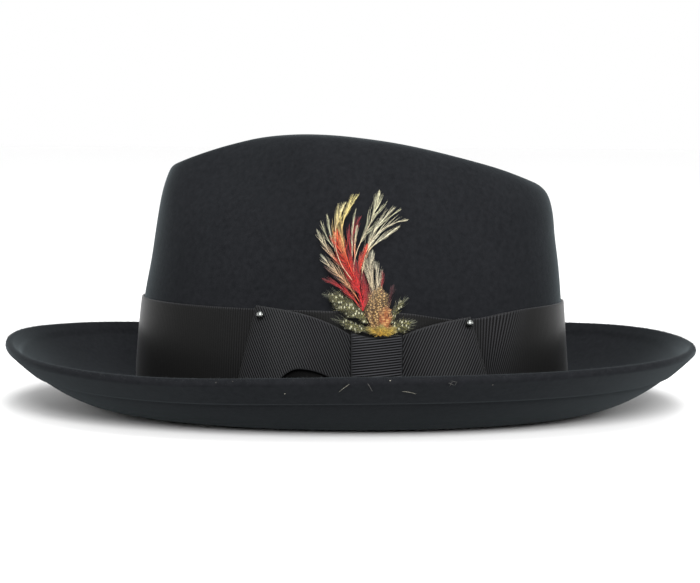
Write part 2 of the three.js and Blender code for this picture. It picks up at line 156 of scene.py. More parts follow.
# Middle surface of the felt, by the angle from the back and the way in from the brim edge
def rim_height(angle):
    heights = np.array(RIM_HEIGHTS)
    count = len(heights)
    step = (angle / (2 * math.pi) % 1.0) * count
    i = np.floor(step).astype(int)
    before, a, b, after = [heights[(i + k) % count] for k in (-1, 0, 1, 2)]
    return hermite(a, b, (b - before) / 2, (after - a) / 2, step - i)


def foot_plan(angle, outwards):
    front = CROWN_PROFILE["front"][0]
    back = CROWN_PROFILE["back"][0]
    length = np.where(np.cos(angle) < 0, front, back) - HALF_FELT + outwards
    width = CROWN_PROFILE["side"][0] - HALF_FELT + outwards
    return CROWN["middle_x"] + length * np.cos(angle), width * np.sin(angle)


def squared(part):
    """Of a sine or cosine, for an outline that is a little squarer than an ellipse."""
    return np.sign(part) * np.abs(part) ** (2 / BRIM["squareness"])


def brim_point(angle, inwards):
    share = 1 - inwards / BRIM_SPAN
    foot_x, foot_y = foot_plan(angle, CROWN["foot_radius"])
    rolled = np.clip((share - BRIM["flat_share"]) / (1 - BRIM["flat_share"]), 0, None)
    return stack(
        lerp(foot_x, BRIM["half_length"] * squared(np.cos(angle)), share),
        lerp(foot_y, BRIM["half_width"] * squared(np.sin(angle)), share),
        HALF_FELT + (rim_height(angle) - HALF_FELT) * rolled ** BRIM["curl_power"],
    )


def foot_point(angle, inwards):
    radius = CROWN["foot_radius"]
    turn = inwards / radius
    x, y = foot_plan(angle, radius * (1 - np.sin(turn)))
    return stack(x, y, HALF_FELT + radius * (1 - np.cos(turn)))


def wall_plan(angle, along):
    names = ["front", "back", "side", "pinch", "rise"]
    columns = [smooth_column(CROWN_PROFILE, "along", name, along) for name in names]
    front, back, side, pinch, rise = columns
    x = (np.where(np.cos(angle) < 0, front, back) - HALF_FELT) * np.cos(angle)
    width = (side - HALF_FELT) * (1 - pinch * bell(x, CROWN["pinch_x"], CROWN["pinch_reach"]))
    return x, width * np.sin(angle), rise


def ridge_height(x):
    return smooth_column(RIDGE, "x", "height", x) - HALF_FELT


def wall_point(angle, along):
    x, y, rise = wall_plan(angle, along)
    ridge_x, _, _ = wall_plan(angle, np.full_like(angle, WALL_SPAN))
    foot = HALF_FELT + CROWN["foot_radius"]
    return stack(CROWN["middle_x"] + x, y, lerp(foot, ridge_height(ridge_x), rise))


def crease_point(angle, inwards):
    share = inwards / CREASE_SPAN
    ridge_x, ridge_y, _ = wall_plan(angle, np.full_like(angle, WALL_SPAN))
    spine_x = CROWN["spine_middle_x"] + CROWN["spine_half_length"] * np.cos(angle)
    x = lerp(ridge_x, spine_x, share)
    drop = smooth_column(RIDGE, "x", "drop", x) * smoothstep(share)
    return stack(CROWN["middle_x"] + x, ridge_y * (1 - share), ridge_height(x) - drop)


def felt_middle(angle, station):
    """Brim, foot of the crown, its wall and its crease, one after another."""
    angle, station = alike(angle, station)
    point = np.empty(angle.shape + (3,))
    starts = [-np.inf, BRIM_SPAN, WALL_START, CREASE_START, np.inf]
    parts = [brim_point, foot_point, wall_point, crease_point]
    for low, high, part in zip(starts, starts[1:], parts):
        here = (station > low) & (station <= high)
        point[here] = part(angle[here], station[here] - max(low, 0))
    return point


def felt_normal(angle, station):
    step = 0.4
    turn = 0.01
    at = np.minimum(station, SPINE - step)
    inwards = felt_middle(angle, at + step) - felt_middle(angle, np.maximum(at - step, 0))
    around = felt_middle(np.asarray(angle) + turn, at) - felt_middle(np.asarray(angle) - turn, at)
    return unit(np.cross(around, inwards))


def rim_frame(angles):
    """Points on the brim's edge, with the ways outwards and up from them."""
    middle = felt_middle(angles, 0)
    return middle, unit(middle - felt_middle(angles, 1)), felt_normal(angles, 0)


def off_felt(angle, station, distance):
    normal = felt_normal(angle, station)
    return felt_middle(angle, station) + normal * np.asarray(distance, float)[..., None]


def station_at_height(angle, height):
    angle, height = alike(angle, height)
    low = np.full(angle.shape, BRIM_SPAN)
    high = np.full(angle.shape, CREASE_START)
    for _ in range(HALVINGS):
        middle = (low + high) / 2
        below = felt_middle(angle, middle)[..., 2] < height
        low = np.where(below, middle, low)
        high = np.where(below, high, middle)
    return (low + high) / 2


def on_crown(x, height, distance):
    """Points on the bow's side of the crown, that far off the outside of the felt."""
    x, height, distance = alike(x, height, distance)
    rise = height / PROFILE_HEIGHT
    ends = [smooth_column(CROWN_PROFILE, "rise", end, rise) for end in ("front", "back")]
    angle = -np.arccos((x - CROWN["middle_x"]) / np.where(x < 0, *ends))
    return off_felt(angle, station_at_height(angle, height), HALF_FELT + distance)


def beside_crown(x, z, lift):
    """Points at that x and height beside the crown, about that far off the felt."""
    at_x, at_z = x, z
    for _ in range(CORRECTIONS):
        point = on_crown(at_x, at_z, lift)
        at_x = at_x + x - point[..., 0]
        at_z = at_z + z - point[..., 2]
    return on_crown(at_x, at_z, lift)


# Mesh helpers
def show(name, data):
    """A new object in the scene."""
    thing = bpy.data.objects.new(name, data)
    bpy.context.scene.collection.objects.link(thing)
    return thing


def grid_faces(rows, columns, ring=False, start=0):
    """Quads of a grid of points, one row after another."""
    last = columns if ring else columns - 1
    i, j = np.meshgrid(np.arange(rows - 1), np.arange(last), indexing="ij")
    k = (j + 1) % columns
    near, far = i * columns, (i + 1) * columns
    return np.stack([near + j, near + k, far + k, far + j], -1).reshape(-1, 4) + start


def mesh_object(name, points, blocks, material, uv=None):
    """A piece from points in millimetres and blocks of faces. uv holds two numbers a point."""
    faces = [face for block in blocks for face in block.tolist()]
    mesh = bpy.data.meshes.new(name)
    mesh.from_pydata((np.reshape(points, (-1, 3)) * MM).tolist(), [], faces)
    mesh.validate()
    if uv is not None:
        layer = mesh.uv_layers.new(name="UVMap")
        corners = np.empty(len(mesh.loops), int)
        mesh.loops.foreach_get("vertex_index", corners)
        layer.data.foreach_set("uv", np.asarray(uv, float)[corners].ravel())
    mesh.polygons.foreach_set("use_smooth", [True] * len(mesh.polygons))
    mesh.materials.append(material)
    return show(name, mesh)


def weld(piece, distance=0.01):
    """Merges points that lie within that many millimetres, and turns all faces outwards."""
    work = bmesh.new()
    work.from_mesh(piece.data)
    bmesh.ops.remove_doubles(work, verts=work.verts, dist=distance * MM)
    bmesh.ops.recalc_face_normals(work, faces=work.faces)
    work.to_mesh(piece.data)
    work.free()
    return piece


def closed_sheet(name, face, back, uv, material):
    """A sheet between two grids of the same shape, closed along its rim."""
    rows, columns = face.shape[:2]
    points = np.concatenate([face.reshape(-1, 3), back.reshape(-1, 3)])
    count = rows * columns
    faces = [grid_faces(rows, columns), grid_faces(rows, columns, start=count)[:, ::-1]]
    top = np.arange(columns)
    left = np.arange(rows) * columns
    rims = [top[::-1], top + (rows - 1) * columns, left, left[::-1] + columns - 1]
    for rim in rims:
        a, b = rim[:-1], rim[1:]
        faces.append(np.stack([a, b, b + count, a + count], -1))
    piece = mesh_object(name, points, faces, material, uv=np.concatenate(uv))
    return weld(piece, 0.002)


def sheet_normals(grid):
    return unit(np.cross(np.gradient(grid, axis=0), np.gradient(grid, axis=1)))


def place(piece, slot, *nodes):
    """Hangs a piece on the body and hides the solids that it replaces; the slot is not used."""
    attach(piece, BODY)
    if nodes:
        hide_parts(*nodes)
    return piece


# Materials
def fill(node, settings):
    """Sets plain values on a node's sockets or properties."""
    for key, value in settings.items():
        socket = key.replace("_", " ")
        if socket in node.inputs:
            node.inputs[socket].default_value = value
        else:
            setattr(node, key, value)


class Nodes:
    """Short names for building one material's nodes."""

    def __init__(self, name):
        self.material = bpy.data.materials.new(name)
        self.material.use_nodes = True
        self.tree = self.material.node_tree
        self.shader = self.tree.nodes["Principled BSDF"]

    def add(self, kind, **settings):
        node = self.tree.nodes.new(kind)
        fill(node, settings)
        return node

    def link(self, source, target):
        self.tree.links.new(source, target)

    def put(self, value, socket):
        """Links an output to a socket, or sets a number or a colour on it."""
        if isinstance(value, (float, tuple)):
            socket.default_value = value
        else:
            self.link(value, socket)

    def feed(self, name, source):
        self.link(source, self.shader.inputs[name])

    def set(self, **settings):
        fill(self.shader, settings)

    def map_axes(self):
        """Both axes of the piece's own map."""
        where = self.add("ShaderNodeUVMap", uv_map="UVMap")
        split = self.add("ShaderNodeSeparateXYZ")
        self.link(where.outputs["UV"], split.inputs["Vector"])
        return split.outputs["X"], split.outputs["Y"]

    def spot(self):
        """The place on the piece, in metres."""
        return self.add("ShaderNodeTexCoord").outputs["Object"]

    def noise(self, scale, detail=4, roughness=0.6):
        noise = self.add("ShaderNodeTexNoise", Scale=scale, Detail=detail, Roughness=roughness)
        self.link(self.spot(), noise.inputs["Vector"])
        return noise.outputs["Fac"]

    def ramp(self, source, stops):
        ramp = self.add("ShaderNodeValToRGB")
        elements = ramp.color_ramp.elements
        while len(elements) < len(stops):
            elements.new(0.5)
        for element, (position, color) in zip(elements, stops):
            element.position = position
            element.color = (*color, 1.0)
        self.link(source, ramp.inputs["Fac"])
        return ramp.outputs["Color"]

    def greys(self, source, *stops):
        return self.ramp(source, [(position, (value,) * 3) for position, value in stops])

    def math(self, operation, *values):
        node = self.add("ShaderNodeMath", operation=operation)
        for value, socket in zip(values, node.inputs):
            self.put(value, socket)
        return node.outputs[0]

    def share(self, value, low, high):
        """How far a value is from low to high, held between 0 and 1."""
        node = self.add("ShaderNodeMapRange", From_Min=low, From_Max=high)
        self.link(value, node.inputs["Value"])
        return node.outputs[0]

    def mix(self, share, color_a, color_b, blend="MIX"):
        node = self.add("ShaderNodeMix", data_type="RGBA", blend_type=blend)
        for value, socket in ((share, 0), (color_a, 6), (color_b, 7)):
            self.put(value, node.inputs[socket])
        return node.outputs[2]

    def bump(self, height, strength, distance, under=None):
        bump = self.add("ShaderNodeBump", Strength=strength, Distance=distance)
        self.link(height, bump.inputs["Height"])
        if under is not None:
            self.link(under, bump.inputs["Normal"])
        return bump.outputs["Normal"]


def felt_material():
    n = Nodes("felt")
    mottle = n.noise(420, 3, 0.65)
    cloud = n.noise(28, 2, 0.5)
    shade = n.math("MULTIPLY_ADD", cloud, 0.35, mottle)
    stops = [(0.35, (0.0046, 0.0049, 0.0056)), (1, (0.0087, 0.0091, 0.0103))]
    n.feed("Base Color", n.ramp(shade, stops))
    nap = n.bump(n.noise(1500, 2, 0.7), 0.3, 0.0003)
    n.feed("Normal", n.bump(n.noise(420, 3, 0.6), 0.12, 0.0005, nap))
    n.set(Roughness=1.0, Specular_IOR_Level=0.0)
    n.set(Sheen_Weight=0.08, Sheen_Roughness=0.36, Sheen_Tint=(0.80, 0.93, 0.98, 1.0))
    return n.material


# Ribbons: the colour on top of the ribs, and the roughness. Band, bow and knot are one ribbon: their
# different colours are painted light and shade, lightest on the knot.
RIBBON_LOOKS = {
    "ribbon_band": ((0.0150, 0.0152, 0.0162), 0.32),
    "ribbon_bow": ((0.0178, 0.0182, 0.0195), 0.52),
    "ribbon_knot": ((0.0230, 0.0234, 0.0256), 0.52),
}


def ribbon_material(name):
    """Grosgrain. The map's first axis counts the ribs; across each rib the colour is painted shade in
    the groove and painted highlight on the ridge. Its second is 0 inside a loop, where the ribbon is
    painted near-black as shade, goes from 0.5 to 1 with how strong the painted rib shading is, and
    rises to 2 on a selvedge."""
    n = Nodes(name)
    painted_ridge_highlight, roughness = RIBBON_LOOKS[name]
    ribs, part = n.map_axes()
    wave = n.math("MULTIPLY_ADD", n.math("COSINE", n.math("MULTIPLY", ribs, 2 * math.pi)), 0.5, 0.5)
    # Painted shade in the rib grooves and painted highlight on the ridges
    painted_rib_shading = n.ramp(wave, [(0.28, (0.0001, 0.0001, 0.0002)), (0.92, painted_ridge_highlight)])
    # On most of the band: a darker copy of the ribbon's colour, painted shade, with faint rib shading
    faint = n.ramp(wave, [(0, (0.0038, 0.0038, 0.0038)), (1, (0.0043, 0.0043, 0.0042))])
    edge = n.ramp(n.noise(900), [(0.3, (0.0085, 0.0087, 0.0092)), (0.7, (0.016, 0.0163, 0.0172))])
    ribbed = n.mix(n.share(part, 0.5, 1), faint, painted_rib_shading)
    # Inside the loops and on their back layers: near-black, painted shade
    outside = n.mix(n.share(part, 0, 0.5), (0.0004, 0.0004, 0.0004, 1), ribbed)
    n.feed("Base Color", n.mix(n.share(part, 1, 2), outside, edge))
    n.feed("Normal", n.bump(n.noise(1400, 2, 0.6), 0.25, 0.0002))
    n.set(Roughness=roughness, Specular_IOR_Level=0.06)
    n.set(Sheen_Weight=0.03, Sheen_Roughness=0.3, Sheen_Tint=(0.95, 0.97, 1.0, 1.0))
    return n.material


def metal_material():
    n = Nodes("stud_metal")
    stops = [(0.3, (0.13, 0.135, 0.13)), (0.7, (0.20, 0.21, 0.20))]
    n.feed("Base Color", n.ramp(n.noise(2500, 2, 0.5), stops))
    n.set(Metallic=1.0, Roughness=0.3)
    return n.material


# Felt body
FELT_COLUMNS = 300
OUTER_STEP = 1.5
INNER_STEP = 3
EDGE_STEP = 0.7
EDGE_SPAN = 16
ROLL_TURNS = 7


def felt_stations(step):
    """Stations from the brim edge inwards, close together at the edge."""
    edge = np.arange(0, EDGE_SPAN, min(step, EDGE_STEP))
    rest = np.linspace(EDGE_SPAN, SPINE, int((SPINE - EDGE_SPAN) / step))
    return np.concatenate([edge, rest])


def upper_half(station):
    """How far the outside lies off the middle surface: thick on the rolled edge."""
    roll = BRIM["roll_half"] - HALF_FELT
    past = (station - BRIM["roll_top"]) / (BRIM["roll_width"] - BRIM["roll_top"])
    return HALF_FELT + roll * (1 - smoothstep(past))


def lower_half(station):
    """The same for the inside: thick where the edge is turned under."""
    fold = BRIM["roll_half"] - HALF_FELT
    past = (station - BRIM["turned_under_width"]) / BRIM["turned_under_step"]
    return HALF_FELT + fold * (1 - smoothstep(past + 0.5))


def felt_skin(angles, side, half, step):
    """One side of the felt, with its half of the round brim edge."""
    turns = np.radians(np.linspace(90, 0, ROLL_TURNS))[:-1][:, None, None]
    middle, outwards, normal = rim_frame(angles)
    cap = middle + BRIM["roll_half"] * (outwards * np.sin(turns) + side * normal * np.cos(turns))
    stations = felt_stations(step)[:, None]
    sheet = off_felt(angles, stations, side * half(stations))
    # Both halves of the crease meet on the middle line
    sheet[-1, :, 1] = 0
    return np.concatenate([cap, sheet])


def felt_body(material):
    angles = np.linspace(0, 2 * math.pi, FELT_COLUMNS, endpoint=False)
    outer = felt_skin(angles, 1, upper_half, OUTER_STEP)
    inner = felt_skin(angles, -1, lower_half, INNER_STEP)
    points = np.concatenate([outer, inner])
    outer_faces = grid_faces(len(outer), FELT_COLUMNS, ring=True)
    inner_faces = grid_faces(len(inner), FELT_COLUMNS, ring=True, start=outer.size // 3)
    piece = weld(mesh_object("felt_hat", points, [outer_faces, inner_faces[:, ::-1]], material))
    return place(piece, "felt", "felt_body")


# Ribbon round the crown
BAND_RIBS = {
    "pitch": 1.2, "columns": 5, "depth": 0.035, "height": 28, "lean": 0.42, "lean_x": 70,
    "lean_reach": 9, "tight_x": 62, "tight_reach": 22, "tight_share": 0.35,
}
# Places beside the bow where the ribs' painted shade and highlight are stronger: x, reach and how
# much
PAINTED_RIB_SHADING_PLACES = [(64, 11, 0.5), (-50, 12, 0.12)]
# Rows of points up the ribbon, close together on both selvedges
BAND_ROWS = [0, 0.01, 0.025, 0.1, 0.25, 0.4, 0.55, 0.7, 0.85, 0.92, 0.96, 0.975, 0.985, 1]
BAND_SELVEDGE = {"share": 0.022, "thinner": 0.1, "mark": 1.6}
RING_POINTS = 2000


def band_x(angles):
    return CROWN_PROFILE["back"][0] * np.cos(angles)


def ribbon_top(angle):
    level = lerp(RIBBON["top_front"], RIBBON["top_back"], (1 + np.cos(angle)) / 2)
    dip = RIBBON["dip"] * bell(band_x(angle), RIBBON["dip_x"], RIBBON["dip_reach"])
    return np.where(np.sin(angle) < 0, level - dip, level)


def ring_length(angles, height):
    """Length round the crown from the back to each angle."""
    ring = off_felt(angles, station_at_height(angles, height), HALF_FELT)
    steps = np.linalg.norm(np.diff(ring, axis=0), axis=1)
    return np.concatenate([[0], np.cumsum(steps)])


def band_columns():
    """Angles of the band's columns, a few to a rib, and how many ribs lie before each one."""
    angles = np.linspace(0, 2 * math.pi, RING_POINTS)
    length = ring_length(angles, BAND_RIBS["height"])
    ribs = round(length[-1] / BAND_RIBS["pitch"])
    phase = np.arange(ribs * BAND_RIBS["columns"] + 1) / BAND_RIBS["columns"]
    return np.interp(phase / ribs * length[-1], length, angles), phase


def band_lean(angles, height):
    """Turns the columns beside the bow, where the ribbon's ribs slant."""
    slant = BAND_RIBS["lean"] * bell(band_x(angles), BAND_RIBS["lean_x"], BAND_RIBS["lean_reach"])
    near = np.where(np.sin(angles) < 0, slant, 0)
    return near * (height - BAND_RIBS["height"]) / CROWN_PROFILE["side"][0]


def rib_depth(angles):
    """The ribs are flatter round both ends of the crown, where the ribbon is pulled tight."""
    tight = smoothstep((np.abs(band_x(angles)) - BAND_RIBS["tight_x"]) / BAND_RIBS["tight_reach"])
    return BAND_RIBS["depth"] * lerp(1, BAND_RIBS["tight_share"], tight)


def painted_rib_contrast(angles):
    """How strong the ribs' painted shade and highlight are, from 0.5 where they are faint to 1 beside
    the bow.
    """
    x = band_x(angles)
    painted_rib_shading = sum(more * bell(x, middle, reach) for middle, reach, more in PAINTED_RIB_SHADING_PLACES)
    return 0.5 + np.where(np.sin(angles) < 0, painted_rib_shading, 0)


def ribbon_band(material):
    angles, phase = band_columns()
    outside = HALF_FELT + GAP + RIBBON["thickness"]
    rows = np.array(BAND_ROWS)
    near_edge = np.minimum(rows, 1 - rows)
    face, back, marks = [], [], []
    for share, shown in zip(rows, smoothstep(near_edge / BAND_SELVEDGE["share"])):
        level = lerp(RIBBON["bottom"], ribbon_top(angles), share)
        turned = angles + band_lean(angles, level)
        height = lerp(RIBBON["bottom"], ribbon_top(turned), share)
        station = station_at_height(turned, height)
        rib = rib_depth(angles) * shown * (np.cos(2 * np.pi * phase) - 1)
        thinner = BAND_SELVEDGE["thinner"] * (1 - shown)
        face.append(off_felt(turned, station, outside - thinner + rib))
        back.append(off_felt(turned, station, HALF_FELT + GAP))
        # How strong the ribs' painted shade and highlight are, or the selvedge mark
        marks.append(stack(phase, lerp(BAND_SELVEDGE["mark"], painted_rib_contrast(angles), shown)))
    uv = np.reshape(marks, (-1, 2))
    piece = closed_sheet("ribbon_round_crown", np.array(face), np.array(back), (uv, uv), material)
    girth = ring_length(angles, BAND_RIBS["height"])[-1]
    return place(piece, "ribbon", "ribbon_band")


# Bow: two pressed loops and the wrap over their middle
BOW_GAP = 0.45
BOW_BACK = GAP + RIBBON["thickness"] + BOW_GAP
RIB_HEIGHT = 0.16
SELVEDGE = 0.9
WING_ROWS = 84
WING_COLUMNS = {"front": 220, "fold": 64, "back": 20}
WING_THICKNESS = 0.9
WING_LIFT = {
    "share": [0, 0.15, 0.3, 0.45, 0.6, 0.75, 0.88],
    "lift": [1.3, 2.1, 2.6, 2.9, 2.9, 2.7, 2.3],
}
WING_SWELL = {"height": 0.25, "waves": 1.3, "start": 0.6}
WING_SELVEDGE = {"width": 0.5, "thinner": 0.2, "mark": 1.8}
WINGS = {
    "bow_wing_front": {
        "cut_length": 92, "knot_x": -0.3, "fold_top": (-40.3, 52.3), "fold_bottom": (-51.3, 6.2),
        "knot_top": 40.2, "knot_bottom": 11, "arch": 3, "rib_pitch": 1.06, "rib_lean": 0.40,
        "mouth_x": -21.5, "mouth_z": 25.2, "mouth_reach": (7.5, 13.5), "mouth_drop": 3.8,
    },
    "bow_wing_back": {
        "cut_length": 74, "knot_x": 22.1, "fold_top": (51.2, 47.4), "fold_bottom": (62.4, 6.2),
        "knot_top": 39.9, "knot_bottom": 11, "arch": 1.3, "rib_pitch": 1.15, "rib_lean": -0.42,
        "mouth_x": 40, "mouth_z": 14, "mouth_reach": (11.5, 11.5), "mouth_drop": 3.3,
    },
}
KNOT = {
    "left": 0, "right": 21.8, "bottom": 12, "edge": 2.6, "bulge": 4.6, "roundness": 0.45,
    "tuck": 1.6, "tuck_height": 2.4, "rows": 170, "columns": 40,
    "rib_height": 1.1 * RIB_HEIGHT, "rib_pitch": 1.12, "rib_lean": -0.105, "top_edge": 0.5,
}
KNOT_TOP = {"x": [0, 4, 9, 14, 21.8], "z": [41.6, 40.2, 39.2, 40, 40.3]}


def wing_columns():
    """Along a loop: the way to the fold, the lift off the band, and 1 in front to 0 behind."""
    end = WING_LIFT["share"][-1]
    front = np.linspace(0, end, WING_COLUMNS["front"])
    turn = np.linspace(0, np.pi, WING_COLUMNS["fold"] + 2)[1:-1]
    back = np.linspace(end, 0, WING_COLUMNS["back"])
    in_fold = (1 + np.cos(turn)) / 2
    front_lift = smooth_column(WING_LIFT, "share", "lift", front)
    share = np.concatenate([front, lerp(end, 1, np.sin(turn)), back])
    behind = np.zeros_like(back)
    lift = np.concatenate([front_lift, WING_LIFT["lift"][-1] * in_fold, behind])
    return share, lift, np.concatenate([np.ones_like(front), in_fold, behind])


def wing_edges(wing, share, x):
    """Bottom and top edge of the front layer. The bottom lifts into a mouth near the knot."""
    arch = wing["arch"] * np.sin(np.pi * share ** 0.8)
    top = lerp(wing["knot_top"], wing["fold_top"][1], share) + arch
    flat = lerp(wing["knot_bottom"], wing["fold_bottom"][1], share)
    aside = x - wing["mouth_x"]
    reach = np.where(aside < 0, *wing["mouth_reach"])
    mouth = wing["mouth_z"] - wing["mouth_drop"] * (aside / reach) ** 2
    return np.maximum(flat, mouth), flat, top


def bow_wing(name, material):
    wing = WINGS[name]
    share, lift, in_front = wing_columns()
    up = np.linspace(0, 1, WING_ROWS)[:, None]
    x = lerp(wing["knot_x"], lerp(wing["fold_bottom"][0], wing["fold_top"][0], up), share)
    lifted, flat, top = wing_edges(wing, share, x)
    bottom = lerp(flat, lifted, in_front)
    z = lerp(bottom, top, up)
    wave = np.sin(2 * WING_SWELL["waves"] * np.pi * share + WING_SWELL["start"])
    swell = WING_SWELL["height"] * np.sin(np.pi * up) * in_front * wave
    middle = on_crown(x, z, BOW_BACK + WING_THICKNESS / 2 + lift + swell)
    normals = sheet_normals(middle)
    normals = normals * -np.sign(normals[WING_ROWS // 2, WING_COLUMNS["front"] // 2, 1])
    phase = (x + wing["rib_lean"] * z) / wing["rib_pitch"]
    near_edge = np.minimum(top - z, z - bottom)
    ribbed = smoothstep(near_edge / SELVEDGE)
    rib = RIB_HEIGHT * ribbed * np.cos(2 * np.pi * phase)
    thinner = WING_SELVEDGE["thinner"] * (1 - smoothstep(near_edge / WING_SELVEDGE["width"]))
    half = WING_THICKNESS / 2 - thinner
    face = middle + normals * (half + rib)[..., None]
    back = middle - normals * half[..., None]
    # Back layer and inner faces get 0: painted near-black shade inside the loop
    outside = stack(phase, lerp(WING_SELVEDGE["mark"], in_front, ribbed)).reshape(-1, 2)
    inside = stack(phase, 0).reshape(-1, 2)
    piece = closed_sheet(name + "_ribbon", face, back, (outside, inside), material)
    flat = (RIBBON["flat_width"] * MM, wing["cut_length"] * MM)
    return place(piece, "ribbon", name)


def bow_knot(material):
    share = np.linspace(0, 1, KNOT["columns"])
    up = np.linspace(0, 1, KNOT["rows"])[:, None]
    x = lerp(KNOT["left"], KNOT["right"], share)
    top = smooth_column(KNOT_TOP, "x", "z", x)
    z = lerp(KNOT["bottom"], top, up)
    across = np.sin(np.pi * np.clip(share, 0.001, 0.999)) ** KNOT["roundness"]
    bulge = lerp(KNOT["edge"], KNOT["bulge"], across)
    tuck = KNOT["tuck"] * (1 - smoothstep((top - z) / KNOT["tuck_height"]))
    phase = (z + KNOT["rib_lean"] * x) / KNOT["rib_pitch"]
    near_side = np.minimum(x - KNOT["left"], KNOT["right"] - x)
    ribbed = smoothstep(near_side / SELVEDGE) * smoothstep((top - z) / KNOT["top_edge"])
    depth = BOW_BACK + bulge - tuck + KNOT["rib_height"] * ribbed * np.cos(2 * np.pi * phase)
    face = on_crown(x, z, depth)
    back = on_crown(x, z, BOW_BACK)
    # The knot's ribs get the full painted shade and highlight
    uv = stack(phase, 2 - ribbed).reshape(-1, 2)
    piece = closed_sheet("bow_knot_ribbon", face, back, (uv, uv), material)
    return place(piece, "ribbon", "bow_knot")


# Studs near the folds of the wings
STUD = {"radius": 1.75, "foot_radius": 0.525, "cut_angle": 150, "rings": 20, "sides": 36}
STUDS = {
    "stud_front": {"x": -37.8, "z": 48.2, "clearance": 3.1},
    "stud_back": {"x": 49.7, "z": 44.6, "clearance": 3.2},
}


def stud(name, material):
    """A ball head, cut flat where it sits on the ribbon."""
    spot = STUDS[name]
    foot = on_crown(spot["x"], spot["z"], BOW_BACK + spot["clearance"])
    outwards = unit(on_crown(spot["x"], spot["z"], BOW_BACK + spot["clearance"] + 1) - foot)
    turns = np.radians(np.linspace(STUD["cut_angle"], 0, STUD["rings"]))
    height = STUD["radius"] * (np.cos(turns) - np.cos(turns[0]))
    height = np.concatenate([[0, 0], height])[:, None, None]
    radius = np.concatenate([[0, STUD["foot_radius"]], STUD["radius"] * np.sin(turns)])[:, None, None]
    around = np.linspace(0, 2 * np.pi, STUD["sides"], endpoint=False)[:, None]
    across = unit(np.cross(outwards, [0, 0, 1]))
    spokes = np.cos(around) * across + np.sin(around) * np.cross(across, outwards)
    faces = grid_faces(len(height), STUD["sides"], ring=True)
    points = foot + height * outwards + radius * spokes
    piece = mesh_object(name + "_ball", points, [faces], material)
    return place(weld(piece), "stud_metal", name)


